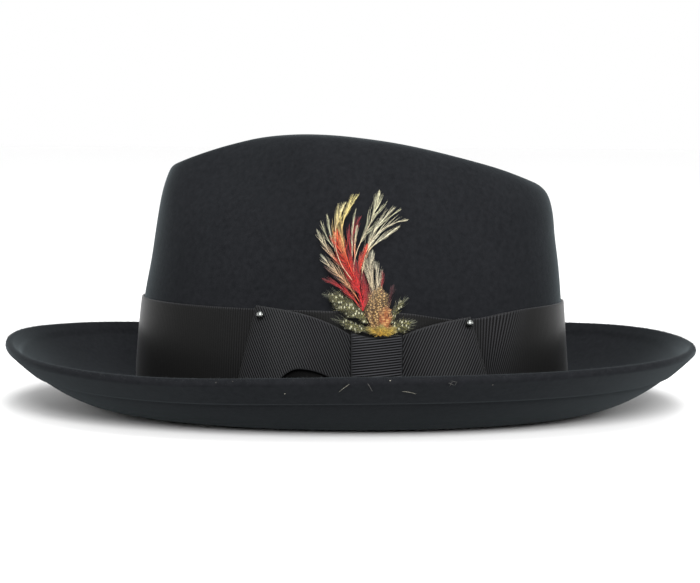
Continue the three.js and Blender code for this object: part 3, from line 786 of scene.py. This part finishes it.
# Feathers. The spine is a few points on the shaft, x and z beside the crown. The barbs begin at
# its share called start, and open by that angle in degrees. Lift is how far root and tip stand
# off the felt, and reach the barbs' length on either side.
FEATHER_COLUMNS = ("name", "finish", "barbs", "angle", "start", "thick", "lift", "reach", "spine")
FEATHERS = [
    # The two maroon feathers are very dark red, put where the red feathers lie in shade: painted
    # shade
    ("maroon_low", "painted_shade_maroon", 60, 16, 0.05, 0.2, (4.5, 4.5), (4, 4),
     [(3, 59), (-2.2, 62.3), (-7, 66.5), (-12, 70.9)]),
    ("maroon_back", "painted_shade_maroon", 60, 17, 0.05, 0.2, (4, 5), (4, 4),
     [(15.6, 48), (16.4, 54), (17.3, 58), (18.5, 62.5)]),
    ("red_wisp", "red", 40, 12, 0.1, 0.2, (4.5, 5), (5, 4),
     [(12.8, 55), (13.2, 60), (13.6, 65), (13.5, 68.8)]),
    ("red_middle", "red", 150, 14, 0.05, 0.28, (4.5, 4.5), (8, 5),
     [(1.5, 66), (-0.2, 76), (0.2, 83), (1.8, 88.2), (4, 92.2)]),
    ("cream_wisp", "grey_cream", 14, 9, 0, 0.14, (4.6, 4.6), (5, 5),
     [(-8, 79), (-10.4, 82.5), (-12, 86.4), (-13.5, 90.2)]),
    ("cream_thin", "grey_cream", 24, 9, 0, 0.16, (4.9, 4.9), (6, 4),
     [(-7, 77), (-8.7, 82.5), (-9.8, 87.8), (-10.7, 93)]),
    ("pink_outer", "pink_cream", 46, 14, 0.05, 0.17, (5, 5.2), (5, 6),
     [(0, 66.5), (-5.5, 71.9), (-8.9, 75.8), (-11.8, 80.1), (-13.7, 83.5), (-15.2, 86.4)]),
    ("peach_outer", "peach_cream", 84, 15, 0.08, 0.19, (5.4, 5.4), (7, 8),
     [(3.6, 55.5), (1, 59.5), (-2.2, 63.5), (-5.4, 67), (-9.4, 71), (-13.3, 75.5)]),
    ("olive_hackle", "red_olive", 58, 12, 0.4, 0.2, (7.9, 6), (8, 9),
     [(0.4, 65), (-1.4, 67.3), (-4.3, 71.7), (-6.3, 76.7), (-7.1, 81.5), (-7, 87), (-6.1, 91.2),
      (-4.6, 95), (-2.6, 98.4)]),
    ("downy_cream", "downy", 130, 11, 0, 0.16, (5, 5.2), (15, 12),
     [(10, 56), (9.3, 61), (8.6, 66), (8.4, 71), (9.2, 77.6)]),
    ("downy_side", "downy", 70, 13, 0, 0.14, (5.2, 5.4), (6, 8),
     [(10.6, 54), (11.6, 60), (11.5, 66), (10.4, 73)]),
    ("cream_centre", "grey_cream", 72, 17, 0.36, 0.18, (6.2, 6.2), (11, 9),
     [(1, 67.5), (1.3, 72.5), (2.8, 78.2), (5.2, 83.6), (7.8, 88.6), (9.8, 93.4), (11.2, 98.2),
      (12.2, 103.6)]),
    ("orange_band", "red_orange", 120, 11, 0.05, 0.26, (6.2, 6.2), (6, 6),
     [(2.9, 60), (3.1, 66.9), (4.4, 73), (6.9, 80.2)]),
    ("cream_back", "white_cream", 54, 13, 0.15, 0.18, (5.8, 6), (8, 7),
     [(4.6, 61), (4.8, 68), (5.9, 74.5), (7.3, 79), (9.9, 83.3), (13.4, 86.7), (18.2, 89.4),
      (24.8, 91)]),
    ("cream_upper", "white_cream", 28, 9, 0.1, 0.17, (5.4, 5.6), (9, 7),
     [(6.9, 78), (8.6, 83), (11.3, 88), (15.2, 92.6), (19.2, 96.4)]),
    ("cream_lower", "white_cream", 34, 9, 0.05, 0.18, (6.6, 6.6), (8, 6),
     [(6.6, 74.5), (8, 78.2), (11.3, 81.2), (15.6, 84.2), (21.2, 88.2)]),
    ("cream_faint", "grey_cream", 16, 8, 0.05, 0.16, (5, 5.2), (6, 5),
     [(9.5, 85), (13.5, 89.5), (18, 93), (21.9, 95.7)]),
    ("cream_slim", "grey_cream", 24, 7, 0, 0.18, (5.6, 5.6), (5, 4),
     [(0.4, 75), (0.3, 83.5), (0.8, 89.7), (1.9, 95.6)]),
    ("pink_slim", "pink_cream", 26, 9, 0, 0.18, (5.4, 5.4), (4, 5),
     [(1.6, 72), (1.4, 79.6), (1.9, 84.4), (2.5, 88.5)]),
    ("yellow_curved", "red_yellow", 96, 10, 0.12, 0.2, (7.6, 6.4), (10, 4.5),
     [(2, 64.5), (-2.2, 75), (-3.7, 81.1), (-4.2, 85.9), (-3.5, 90.7), (-1.7, 94.8), (0.8, 98.6),
      (3.2, 102)]),
    ("red_broad", "red_bright", 220, 23, 0, 0.26, (7, 6.6), (8, 8),
     [(5.1, 51.5), (4.3, 57.9), (1.7, 64.2), (-1.5, 70.5), (-4.3, 76.7), (-5.9, 82.5), (-6.6, 87)]),
    ("red_side", "red_deep", 160, 15, 0, 0.3, (6.8, 6), (7, 7),
     [(5.3, 51.5), (6.4, 57), (5.2, 62.5), (2.9, 68), (1.5, 74)]),
    ("red_spike", "crimson_tip", 110, 13, 0.02, 0.24, (6.6, 6.2), (5, 5),
     [(4.5, 52.5), (0.2, 57.6), (-4.1, 61.4), (-8, 63.6), (-12.4, 65.2)]),
    ("frayed_low", "frayed", 26, 20, 0.2, 0.11, (5.2, 5.4), (6, 6),
     [(3, 44.2), (-0.6, 45.6), (-4.2, 47), (-8.4, 47.8)]),
    ("frayed_left", "frayed", 44, 24, 0.2, 0.11, (5.8, 6), (8, 8),
     [(0.5, 52), (-4, 55.2), (-8.6, 57.8), (-12.6, 58.6)]),
    ("frayed_right", "frayed", 40, 26, 0.2, 0.11, (5.2, 5.4), (7, 7),
     [(17, 43), (20.4, 44.2), (24, 45.2), (28.6, 46.4)]),
    ("frayed_high", "frayed", 24, 20, 0.2, 0.11, (5, 5.2), (6, 6),
     [(17, 46.5), (19.2, 50.5), (21.8, 54), (25, 57)]),
    ("spotted_low", "spotted", 380, 28, 0, 0.2, (5.4, 5.6), (4.4, 4),
     [(8.4, 42.2), (4.2, 43.6), (0.2, 45), (-4.6, 46.8)]),
    ("spotted_left", "spotted", 620, 32, 0, 0.2, (6.2, 6.2), (6.5, 6),
     [(7.4, 46.2), (3.2, 49.8), (-1.8, 53.4), (-5.8, 56.2), (-9.6, 58.2)]),
    ("spotted_right", "spotted", 240, 34, 0, 0.16, (5.4, 5.6), (5, 5),
     [(15, 42.4), (18.6, 43.6), (22.2, 44.8), (26, 46.2)]),
    ("spotted_high", "spotted", 110, 24, 0, 0.15, (5.2, 5.4), (5, 4),
     [(15.5, 44), (17.8, 48), (20.2, 52), (22.9, 55.8)]),
    ("barred_high", "barred", 560, 36, 0, 0.22, (6.8, 6.4), (9, 8),
     [(9.4, 42), (10.2, 48.5), (11.4, 54.5), (13, 61.6)]),
    ("barred_low", "rust_barred", 340, 34, 0, 0.22, (7.4, 7.2), (5.5, 5),
     [(13.4, 41), (14.4, 45), (15, 49), (15.2, 53.4)]),
    ("golden_left", "golden", 200, 36, 0, 0.24, (8.2, 7.2), (3.2, 2.6),
     [(14.5, 42.4), (11.8, 42.6), (9.2, 43.2), (6.8, 44.4)]),
    ("golden_right", "golden", 200, 36, 0, 0.24, (8.2, 7.2), (2.6, 3.2),
     [(12, 42.2), (14.6, 42.2), (17.2, 42.8), (19.8, 44.2)]),
    ("golden_base", "golden", 240, 48, 0, 0.24, (8.2, 8), (6, 6),
     [(13, 40.6), (13.1, 42.2), (13.2, 43.8), (13.3, 45.4)]),
]
# Colours along a feather: share from the root, red, green and blue
FINISHES = {
    # Near-black red: painted shade under and behind the red feathers
    "painted_shade_maroon": [(0, 0.075, 0.004, 0.01), (1, 0.055, 0.003, 0.008)],
    "red": [(0, 0.42, 0.01, 0.012), (0.6, 0.32, 0.009, 0.014), (1, 0.2, 0.007, 0.014)],
    "red_deep": [(0, 0.42, 0.006, 0.014), (0.5, 0.26, 0.005, 0.01), (1, 0.16, 0.004, 0.01)],
    "red_bright": [(0, 0.6, 0.01, 0.018), (0.45, 0.62, 0.014, 0.012), (1, 0.8, 0.08, 0.015)],
    "crimson_tip": [(0, 0.66, 0.06, 0.018), (0.5, 0.5, 0.016, 0.018), (1, 0.26, 0.008, 0.012)],
    "red_orange": [(0, 0.46, 0.012, 0.01), (0.5, 0.56, 0.035, 0.014), (1, 0.64, 0.07, 0.03)],
    "pink_cream": [(0, 0.7, 0.1, 0.05), (0.4, 0.75, 0.3, 0.16), (0.7, 0.9, 0.76, 0.5),
                   (1, 0.85, 0.82, 0.58)],
    "peach_cream": [(0, 0.85, 0.18, 0.05), (0.25, 0.95, 0.46, 0.22), (0.6, 0.85, 0.55, 0.32),
                    (1, 0.62, 0.64, 0.48)],
    "red_olive": [(0, 0.6, 0.02, 0.012), (0.5, 0.55, 0.05, 0.02), (0.6, 0.7, 0.4, 0.14),
                  (0.8, 0.85, 0.7, 0.3), (1, 0.9, 0.8, 0.42)],
    "white_cream": [(0, 0.55, 0.18, 0.07), (0.25, 0.68, 0.58, 0.36), (0.5, 0.82, 0.78, 0.56),
                    (1, 0.8, 0.74, 0.5)],
    "red_yellow": [(0, 0.6, 0.02, 0.012), (0.28, 0.75, 0.08, 0.02), (0.45, 0.85, 0.48, 0.18),
                   (0.7, 0.85, 0.68, 0.25), (1, 0.8, 0.7, 0.28)],
    "grey_cream": [(0, 0.55, 0.5, 0.34), (0.5, 0.62, 0.6, 0.4), (1, 0.8, 0.77, 0.5)],
    "downy": [(0, 0.72, 0.56, 0.32), (0.5, 0.78, 0.66, 0.46), (1, 0.5, 0.48, 0.36)],
    "golden": [(0, 0.52, 0.27, 0.02), (0.6, 0.54, 0.36, 0.05), (1, 0.34, 0.28, 0.09)],
    "shaft": [(0, 0.75, 0.52, 0.32), (1, 0.86, 0.78, 0.54)],
    "spotted": [(0, 0.04, 0.038, 0.012), (1, 0.014, 0.018, 0.009)],
    "frayed": [(0, 0.1, 0.1, 0.05), (1, 0.24, 0.25, 0.17)],
    "barred": [(0, 0.15, 0.06, 0.014), (0.6, 0.085, 0.04, 0.014), (1, 0.2, 0.14, 0.07)],
    "rust_barred": [(0, 0.4, 0.2, 0.03), (0.5, 0.46, 0.1, 0.022), (1, 0.22, 0.09, 0.03)],
}
# Dots or bars on some of them: spacing across and up in millimetres, how large a dot is in its
# cell, its colour, and that of the fine specks between
MARKS = {
    "spotted": {"step": (1.45, 2.7), "size": (0.12, 0.25), "color": (0.52, 0.51, 0.37),
                "specks": (0.22, 0.205, 0.07)},
    "barred": {"step": (1.4, 0.95), "size": (0.1, 0.32), "color": (0.54, 0.37, 0.16),
               "specks": (0.24, 0.14, 0.05)},
    "rust_barred": {"step": (2.6, 1.1), "size": (0.2, 0.36), "color": (0.42, 0.24, 0.09),
                    "specks": (0.34, 0.15, 0.05)},
}
PALE_SHAFTS = ["olive_hackle", "cream_centre", "cream_back"]
SHAFT = {"width": 0.3, "taper": 0.75, "proud": 0.12, "steps": 40}
CURVE_STEPS = 200
# How the barbs vary. A pair of numbers is the least and the most, or for bend root and tip.
BARB = {
    "steps": 6, "angle": (0.65, 1.35), "most_open": math.radians(68), "closed": 0.4,
    "bend": (1.25, 0.75), "length": (0.75, 1.1), "fade": 0.3, "rooted": 0.12, "pointed": 0.3,
    "end": 1.02, "past_tip": (0.1, 1), "tip_slope": 0.8, "wander": 0.22, "wander_root": 0.3,
    "width": (0.7, 1.2), "taper": 0.85, "taper_power": 1.5, "slim": 0.5, "slim_fade": 0.25,
}
# Waves along a shaft that gather its barbs in locks: depth, speed and shift between the sides
LOCKS = [(0.4, 23, 2), (0.25, 57, 1)]
PLUME_SEED = 717


def feather_material(finish):
    n = Nodes("feather_" + finish)
    along, shade = n.map_axes()
    color = n.ramp(along, [(row[0], row[1:]) for row in FINISHES[finish]])
    color = n.mix(1.0, color, n.greys(shade, (0, 0.2), (0.9, 0.95)), "MULTIPLY")
    streaks = n.greys(n.noise(1300, 3, 0.7), (0.36, 0.4), (0.58, 1))
    color = n.mix(1.0, color, streaks, "MULTIPLY")
    if finish in MARKS:
        color = feather_marks(n, MARKS[finish], color)
    n.feed("Base Color", color)
    n.set(Roughness=0.6, Specular_IOR_Level=0.3)
    n.set(Sheen_Weight=0.1, Sheen_Roughness=0.4)
    return n.material


def feather_marks(n, mark, color):
    """Adds fine specks and rows of pale dots, laid out in x and height, to a feather's colour."""
    specks = n.greys(n.noise(2600, 1, 0.5), (0.51, 0), (0.62, 1))
    color = n.mix(specks, color, (*mark["specks"], 1))
    scale = (1 / (mark["step"][0] * MM), 0.0, 1 / (mark["step"][1] * MM))
    scaled = n.add("ShaderNodeMapping", Scale=scale, Rotation=(-math.pi / 2, 0.0, 0.0))
    n.link(n.spot(), scaled.inputs["Vector"])
    cells = n.add("ShaderNodeTexVoronoi", voronoi_dimensions="2D", Scale=1.0, Randomness=0.75)
    n.link(scaled.outputs["Vector"], cells.inputs["Vector"])
    low, high = mark["size"]
    dots = n.greys(cells.outputs["Distance"], (low, 1), (high, 0))
    return n.mix(dots, color, (*mark["color"], 1))


def smooth_path(points, count):
    """Evenly spaced points on a smooth curve through a few points, and the curve's length."""
    points = np.array(points, float)
    steps = np.linalg.norm(np.diff(points, axis=0), axis=1)
    along = np.concatenate([[0], np.cumsum(steps)])
    table = {"along": along, "x": points[:, 0], "z": points[:, 1]}
    at = np.linspace(0, along[-1], count)
    curve = [smooth_column(table, "along", axis, at) for axis in "xz"]
    return np.stack(curve, -1), along[-1]


def strands(name, paths, radius, material, marks=None):
    """Thin closed tubes with three sides, one along each path. Marks are two numbers a point."""
    count, steps = paths.shape[:2]
    along = unit(np.gradient(paths, axis=1))
    side = unit(np.cross(along, [0, 1, 0.15]))
    up = np.cross(side, along)
    turns = np.radians([0, 120, 240])[:, None]
    ring = side[:, :, None] * np.cos(turns) + up[:, :, None] * np.sin(turns)
    points = paths[:, :, None] + ring * radius[:, :, None, None]
    starts = np.arange(count)[:, None, None] * steps * 3
    walls = (starts + grid_faces(steps, 3, ring=True)[None]).reshape(-1, 4)
    roots = starts[:, 0] + np.array([[2, 1, 0]])
    tips = starts[:, 0] + (steps - 1) * 3 + np.array([[0, 1, 2]])
    uv = None if marks is None else np.repeat(marks.reshape(-1, 2), 3, axis=0)
    return mesh_object(name, points, [walls, roots, tips], material, uv)


def barb_spread(row, share, side, length, random):
    """How far each barb opens and how long it is. None goes far past the feather's tip."""
    count = len(share)
    locks = 1 + sum(depth * np.sin(share * speed + side * shift) for depth, speed, shift in LOCKS)
    angle = np.radians(row["angle"]) * locks * random.uniform(*BARB["angle"], count)
    to_tip = smoothstep((1 - share) / BARB["fade"])
    angle = np.minimum(angle * lerp(BARB["closed"], 1, to_tip), BARB["most_open"])
    rooted = smoothstep((share - row["start"] + BARB["rooted"]) / BARB["fade"])
    pointed = lerp(BARB["pointed"], 1, smoothstep((BARB["end"] - share) / BARB["fade"]))
    reach = np.where(side > 0, *row["reach"]) * rooted * pointed
    reach = reach * random.uniform(*BARB["length"], count)
    room = (1 - share) * length + random.uniform(*BARB["past_tip"], count)
    return angle, np.minimum(reach, room / (np.cos(angle) + BARB["tip_slope"] * np.sin(angle)))


def barb_paths(row, random):
    """The barbs of one feather as flat curves: x and z, lift, and share along the shaft."""
    curve, length = smooth_path(row["spine"], CURVE_STEPS)
    share = np.sort(random.uniform(row["start"], 1.0, row["barbs"]))
    side = np.where(np.arange(row["barbs"]) % 2 == 0, 1.0, -1.0)
    angle, reach = barb_spread(row, share, side, length, random)
    at = (share * (CURVE_STEPS - 1)).astype(int)
    tangent = unit(np.gradient(curve, axis=0))[at]
    normal = stack(-tangent[:, 1], tangent[:, 0])
    out = np.linspace(0, 1, BARB["steps"])
    turned = angle[:, None] * lerp(*BARB["bend"], out)
    forward = reach[:, None] * out * np.cos(turned)
    sideways = side[:, None] * reach[:, None] * out * np.sin(turned)
    flat = curve[at][:, None] + forward[..., None] * tangent[:, None]
    flat = flat + sideways[..., None] * normal[:, None]
    wander = random.normal(0, BARB["wander"], row["barbs"])[:, None] * (BARB["wander_root"] + out)
    return flat, lerp(*row["lift"], share)[:, None] + wander, share[:, None] + forward / length


def barbs(row, material, random):
    flat, lift, reached = barb_paths(row, random)
    paths = beside_crown(flat[..., 0], flat[..., 1], lift)
    slim = lerp(BARB["slim"], 1, smoothstep((1 - reached[:, :1]) / BARB["slim_fade"]))
    taper = 1 - BARB["taper"] * np.linspace(0, 1, BARB["steps"]) ** BARB["taper_power"]
    width = row["thick"] * random.uniform(*BARB["width"], len(paths))[:, None]
    marks = stack(reached, random.uniform(0, 1, len(paths))[:, None])
    piece = strands("feather_" + row["name"], paths, width / 2 * slim * taper, material, marks)
    place(piece, "feather", "feather_plume")


def shaft(row, material):
    curve, _ = smooth_path(row["spine"], SHAFT["steps"])
    along = np.linspace(0, 1, SHAFT["steps"])
    spine = beside_crown(curve[:, 0], curve[:, 1], lerp(*row["lift"], along) + SHAFT["proud"])
    radius = SHAFT["width"] / 2 * (1 - SHAFT["taper"] * along)
    name = "feather_" + row["name"] + "_shaft"
    piece = strands(name, spine[None], radius[None], material, stack(along, 1))
    place(piece, "feather", "feather_plume")


def plume():
    random = np.random.default_rng(PLUME_SEED)
    materials = {finish: feather_material(finish) for finish in FINISHES}
    for values in FEATHERS:
        row = dict(zip(FEATHER_COLUMNS, values))
        material = materials[row["finish"]]
        barbs(row, material, random)
        shaft(row, materials["shaft"] if row["name"] in PALE_SHAFTS else material)


# Lint on the near side of the brim, by colour: x and height of both ends, and thickness
LINT = {
    "golden": [(-5, 22.2, -0.5, 25.9, 0.15), (21.2, 22.6, 26.9, 21.4, 0.14),
               (16.1, 27.1, 16.4, 27.3, 0.4), (-27.3, 21, -27, 21.1, 0.34)],
    "dusty": [(6.9, 26.2, 8.9, 22.6, 0.24), (40.2, 26.2, 42.6, 25.1, 0.16),
              (41.2, 27, 43.4, 26.4, 0.14), (40.8, 24.6, 41.9, 26.6, 0.14),
              (43, 25, 43.9, 26.8, 0.14), (-55.9, 25.2, -55.6, 25.5, 0.4),
              (-48.9, 25.9, -48.6, 26.1, 0.4), (58.7, 24.6, 59.1, 24.9, 0.4)],
}
LINT_COLORS = {"golden": (0.22, 0.21, 0.17), "dusty": (0.06, 0.058, 0.054)}
LINT_STEPS = 8
LINT_SHAPE = {"aside": 0.3, "up": 0.8, "taper": 0.5}
RIM_POINTS = 721
RIM_CLEARANCE = 0.25
RIM_FRONT = 1.5
# The nap hairs are real, but their colour, paler than the felt, is a painted highlight along the rim
NAP_HAIR_AND_HIGHLIGHT_COLOR = (0.02, 0.022, 0.024)
NAP_HAIRS = 6000
NAP = {
    "radius": 0.045, "length": (0.3, 1), "turn": (0.3, 0.45), "stray": 0.6, "rooted": 0.1,
    "taper": 0.6,
}
NAP_SEED = 58


def lint_material(name, color):
    n = Nodes("lint_" + name)
    dim = tuple(part * 0.5 for part in color)
    n.feed("Base Color", n.ramp(n.noise(900), [(0.3, dim), (0.6, color)]))
    n.set(Roughness=0.7, Specular_IOR_Level=0.2)
    return n.material


def near_rim(x, height):
    """Points just in front of the rolled edge, on the bow's side, and further out below it."""
    edge = felt_middle(np.linspace(-math.pi, 0, RIM_POINTS), 0)
    y = np.interp(x, edge[:, 0], edge[:, 1])
    middle = np.interp(x, edge[:, 0], edge[:, 2])
    below = np.maximum(middle - RIM_FRONT - height, 0)
    return stack(x, y - BRIM["roll_half"] - RIM_CLEARANCE + below, height)


def lint():
    along = np.linspace(0, 1, LINT_STEPS)
    arch = along * (1 - along)
    for name, rows in LINT.items():
        x_a, z_a, x_b, z_b, width = np.array(rows).T[:, :, None]
        x = lerp(x_a, x_b, along) + LINT_SHAPE["aside"] * np.sin(3 * along + x_a) * arch
        height = lerp(z_a, z_b, along) + LINT_SHAPE["up"] * arch
        radius = width / 2 * (1 - LINT_SHAPE["taper"] * np.abs(2 * along - 1) ** 3)
        material = lint_material(name, LINT_COLORS[name])
        place(strands("lint_" + name, near_rim(x, height), radius, material), "felt")


def nap(material):
    """Short hairs standing off the rolled edge, paler than the felt: a painted highlight along the
    rim.
    """
    random = np.random.default_rng(NAP_SEED)
    angles = random.uniform(0, 2 * math.pi, NAP_HAIRS)
    turn = random.normal(*NAP["turn"], NAP_HAIRS)
    middle, outwards, normal = rim_frame(angles)
    away = outwards * np.cos(turn)[:, None] + normal * np.sin(turn)[:, None]
    lean = unit(away + random.normal(0, NAP["stray"], (NAP_HAIRS, 3)))
    length = random.uniform(*NAP["length"], NAP_HAIRS)[:, None, None]
    out = np.linspace(0, 1, 3)[:, None]
    root = middle + away * (BRIM["roll_half"] - NAP["rooted"])
    bend = lerp(away[:, None], lean[:, None], out)
    paths = root[:, None] + bend * length * out
    radius = np.tile(NAP["radius"] * (1 - NAP["taper"] * out[:, 0]), (NAP_HAIRS, 1))
    place(strands("rim_nap", paths, radius, material), "felt")


# Camera, lights and floor
PHOTO_WIDTH = 700
PHOTO_FOCAL_PIXELS = 2095.6
CAMERA = {"x": -0.5, "distance": 1000, "height": 126.24, "pitch": 4.16, "roll": 0.3}
SENSOR = 36.0
WORLD_STRENGTH = 1.0
# Floor: a disc of rings in millimetres. It turns pale between two distances in metres.
FLOOR_RADII = [0, 200, 700, 2000, 6000, 30000]
FLOOR_SIDES = 48
FLOOR_PALES = {"from": 0.7, "to": 2.0}
LIT_SPOT = Vector((0, 0, 0.05))
# Lamps: place and width in metres, power in watts
LAMPS = {
    "front_light": {"where": (0.2, -2.2, 1.3), "width": 1.2, "power": 121},
    "top_light": {"where": (0.2, -0.2, 1.8), "width": 1.2, "power": 21},
    "left_light": {"where": (-1.8, -0.6, 0.8), "width": 0.8, "power": 8},
    "right_light": {"where": (1.8, -0.6, 0.8), "width": 0.8, "power": 16},
}


def camera():
    data = bpy.data.cameras.new("camera")
    data.sensor_fit = "HORIZONTAL"
    data.sensor_width = SENSOR
    data.lens = PHOTO_FOCAL_PIXELS / PHOTO_WIDTH * SENSOR
    data.clip_end = 50
    pitch = math.radians(CAMERA["pitch"])
    roll = math.radians(CAMERA["roll"])
    right = Vector((1, 0, 0))
    up = Vector((0, math.sin(pitch), math.cos(pitch)))
    back = Vector((0, -math.cos(pitch), math.sin(pitch)))
    rolled_right = math.cos(roll) * right + math.sin(roll) * up
    rolled_up = math.cos(roll) * up - math.sin(roll) * right
    turn = Matrix((rolled_right, rolled_up, back)).transposed().to_4x4()
    spot = Vector((CAMERA["x"], -CAMERA["distance"], CAMERA["height"])) * MM
    seen = show("camera", data)
    seen.matrix_world = Matrix.Translation(spot) @ turn
    bpy.context.scene.camera = seen


def area_light(name, where, width, power):
    data = bpy.data.lights.new(name, "AREA")
    data.shape = "DISK"
    data.size = width
    data.energy = power
    lamp = show(name, data)
    lamp.location = where
    lamp.rotation_euler = (LIT_SPOT - lamp.location).to_track_quat("-Z", "Y").to_euler()


def studio_floor():
    """A pale disc, greyer near the hat, so that it throws less light under the brim."""
    n = Nodes("floor")
    away = n.add("ShaderNodeVectorMath", operation="LENGTH")
    n.link(n.spot(), away.inputs[0])
    pale = n.share(away.outputs["Value"], FLOOR_PALES["from"], FLOOR_PALES["to"])
    n.feed("Base Color", n.greys(pale, (0, 0.65), (1, 0.99)))
    n.set(Roughness=0.9, Specular_IOR_Level=0.1)
    turn = np.linspace(0, 2 * math.pi, FLOOR_SIDES, endpoint=False)
    radius = np.array(FLOOR_RADII)[:, None]
    points = stack(radius * np.cos(turn), radius * np.sin(turn), 0)
    faces = grid_faces(len(FLOOR_RADII), FLOOR_SIDES, ring=True)
    weld(mesh_object("floor", points, [faces[:, ::-1]], n.material))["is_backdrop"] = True


def studio():
    world = bpy.data.worlds.new("studio")
    world.use_nodes = True
    sky = world.node_tree.nodes["Background"]
    sky.inputs["Color"].default_value = (1, 1, 1, 1)
    sky.inputs["Strength"].default_value = WORLD_STRENGTH
    bpy.context.scene.world = world
    for name, lamp in LAMPS.items():
        area_light(name, **lamp)
    studio_floor()
    bpy.context.scene.view_settings.view_transform = "Standard"


camera()
felt_body(felt_material())
ribbon_band(ribbon_material("ribbon_band"))
bow_ribbon = ribbon_material("ribbon_bow")
for wing_name in WINGS:
    bow_wing(wing_name, bow_ribbon)
bow_knot(ribbon_material("ribbon_knot"))
metal = metal_material()
for stud_name in STUDS:
    stud(stud_name, metal)
plume()
lint()
nap(lint_material("nap", NAP_HAIR_AND_HIGHLIGHT_COLOR))
studio()

rows = {"cad": cad_box, "visual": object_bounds()}
{name: [list(corner) for corner in box] for name, box in rows.items()}
